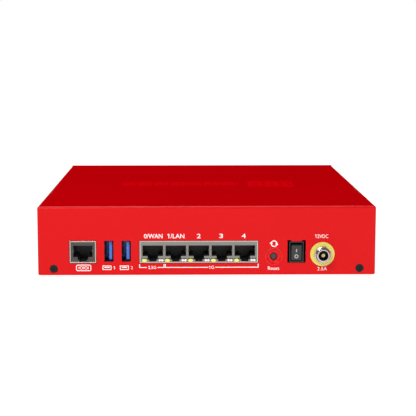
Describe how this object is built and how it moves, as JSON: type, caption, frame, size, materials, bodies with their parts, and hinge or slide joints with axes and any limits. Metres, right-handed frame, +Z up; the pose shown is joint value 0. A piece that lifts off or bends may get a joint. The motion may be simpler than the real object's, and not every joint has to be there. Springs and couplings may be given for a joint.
{
  "type": "desktop firewall appliance",
  "caption": "Flat red steel desktop network appliance with a rear row of network jacks, data sockets, a rocker switch, a reset button and a threaded power inlet.",
  "frame": {"origin": "on the standing plane, under the middle of the whole appliance's outline, power inlet included", "axes": "+Z up, -Y out of the connector panel (the rear), +Y out of the status fascia (the front), +X to the right of someone facing the connector panel"},
  "size_m": [0.205, 0.211, 0.044],
  "materials": {
    "red_powder_coat": "fine-textured powder coat, satin",
    "fascia_plastic": "smooth dark plastic",
    "clear_plastic": "clear moulded light guide",
    "rubber": "matt rubber",
    "black_screw": "black zinc plating",
    "circuit_board": "green solder mask",
    "brass_standoff": "turned brass",
    "plated_steel": "bright zinc plating",
    "insulating_film": "black polyester film",
    "jack_metal": "stamped nickel-plated sheet",
    "black_plastic": "glass-filled moulded plastic",
    "gold_contact": "gold flash on bronze",
    "lamp_yellow": "translucent yellow-green lens",
    "lamp_clear": "translucent clear lens",
    "tongue_blue": "moulded blue plastic",
    "button_plastic": "moulded plastic",
    "switch_plastic": "fine-textured moulded plastic",
    "rocker_plastic": "fine-textured moulded plastic",
    "nickel_plate": "nickel plating",
    "contact_nickel": "plated centre contact",
    "yellow_washer": "yellow moulded washer, satin",
    "chip_package": "moulded chip packages",
    "thermal_pad": "soft silicone pad",
    "heat_sink_aluminium": "extruded, clear anodised",
    "ferrite": "pressed ferrite",
    "capacitor_can": "drawn can",
    "emitter_white": "light emitter package"
  },
  "bodies": {
    "case": {"cover_shell": "red_powder_coat", "base_tray": "red_powder_coat", "front_fascia": "fascia_plastic", "light_guide": "clear_plastic", "foot_rear_left": "rubber", "foot_rear_right": "rubber", "foot_front_left": "rubber", "foot_front_right": "rubber", "cover_screws": "black_screw", "main_board": "circuit_board", "board_standoffs": "brass_standoff", "board_screws": "plated_steel", "insulation_sheet": "insulating_film", "console_jack_shield": "jack_metal", "console_jack_insert": "black_plastic", "console_jack_contacts": "gold_contact", "port_block_shield": "jack_metal", "port_block_insert": "black_plastic", "port_block_contacts": "gold_contact", "link_lamps": "lamp_yellow", "activity_lamps": "lamp_clear", "data_socket_1_shell": "jack_metal", "data_socket_1_tongue": "tongue_blue", "data_socket_1_contacts": "gold_contact", "data_socket_2_shell": "jack_metal", "data_socket_2_tongue": "tongue_blue", "data_socket_2_contacts": "gold_contact", "reset_switch_body": "black_plastic", "reset_snap_dome": "plated_steel", "power_switch_housing": "switch_plastic", "power_switch_terminals": "plated_steel", "inlet_barrel": "nickel_plate", "inlet_liner": "black_plastic", "inlet_contact": "contact_nickel", "inlet_body": "black_plastic", "inlet_washer": "yellow_washer", "inlet_nut": "nickel_plate", "inlet_terminal": "plated_steel", "processor": "chip_package", "thermal_pad": "thermal_pad", "heat_sink": "heat_sink_aluminium", "heat_sink_pins": "button_plastic", "network_transformers": "chip_package", "port_switch_chip": "chip_package", "fast_port_chip": "chip_package", "memory_chips": "chip_package", "storage_chip": "chip_package", "power_coils": "ferrite", "power_capacitors": "capacitor_can", "status_emitters": "emitter_white", "cell_holder": "black_plastic", "coin_cell": "plated_steel"},
    "rocker": {"power_rocker": "rocker_plastic"},
    "reset_button": {"reset_button": "button_plastic"}
  },
  "joints": [
    {"name": "rocker_hinge", "type": "hinge", "parent": "case", "child": "rocker", "pos_m": [0.0544, -0.0971, 0.01585], "axis": [-1, 0, 0], "range_deg": [0, 18]},
    {"name": "reset_press", "type": "slide", "parent": "case", "child": "reset_button", "axis": [0, 1, 0], "range_m": [0, 0.0003], "stiffness_N_per_m": 5000}
  ]
}
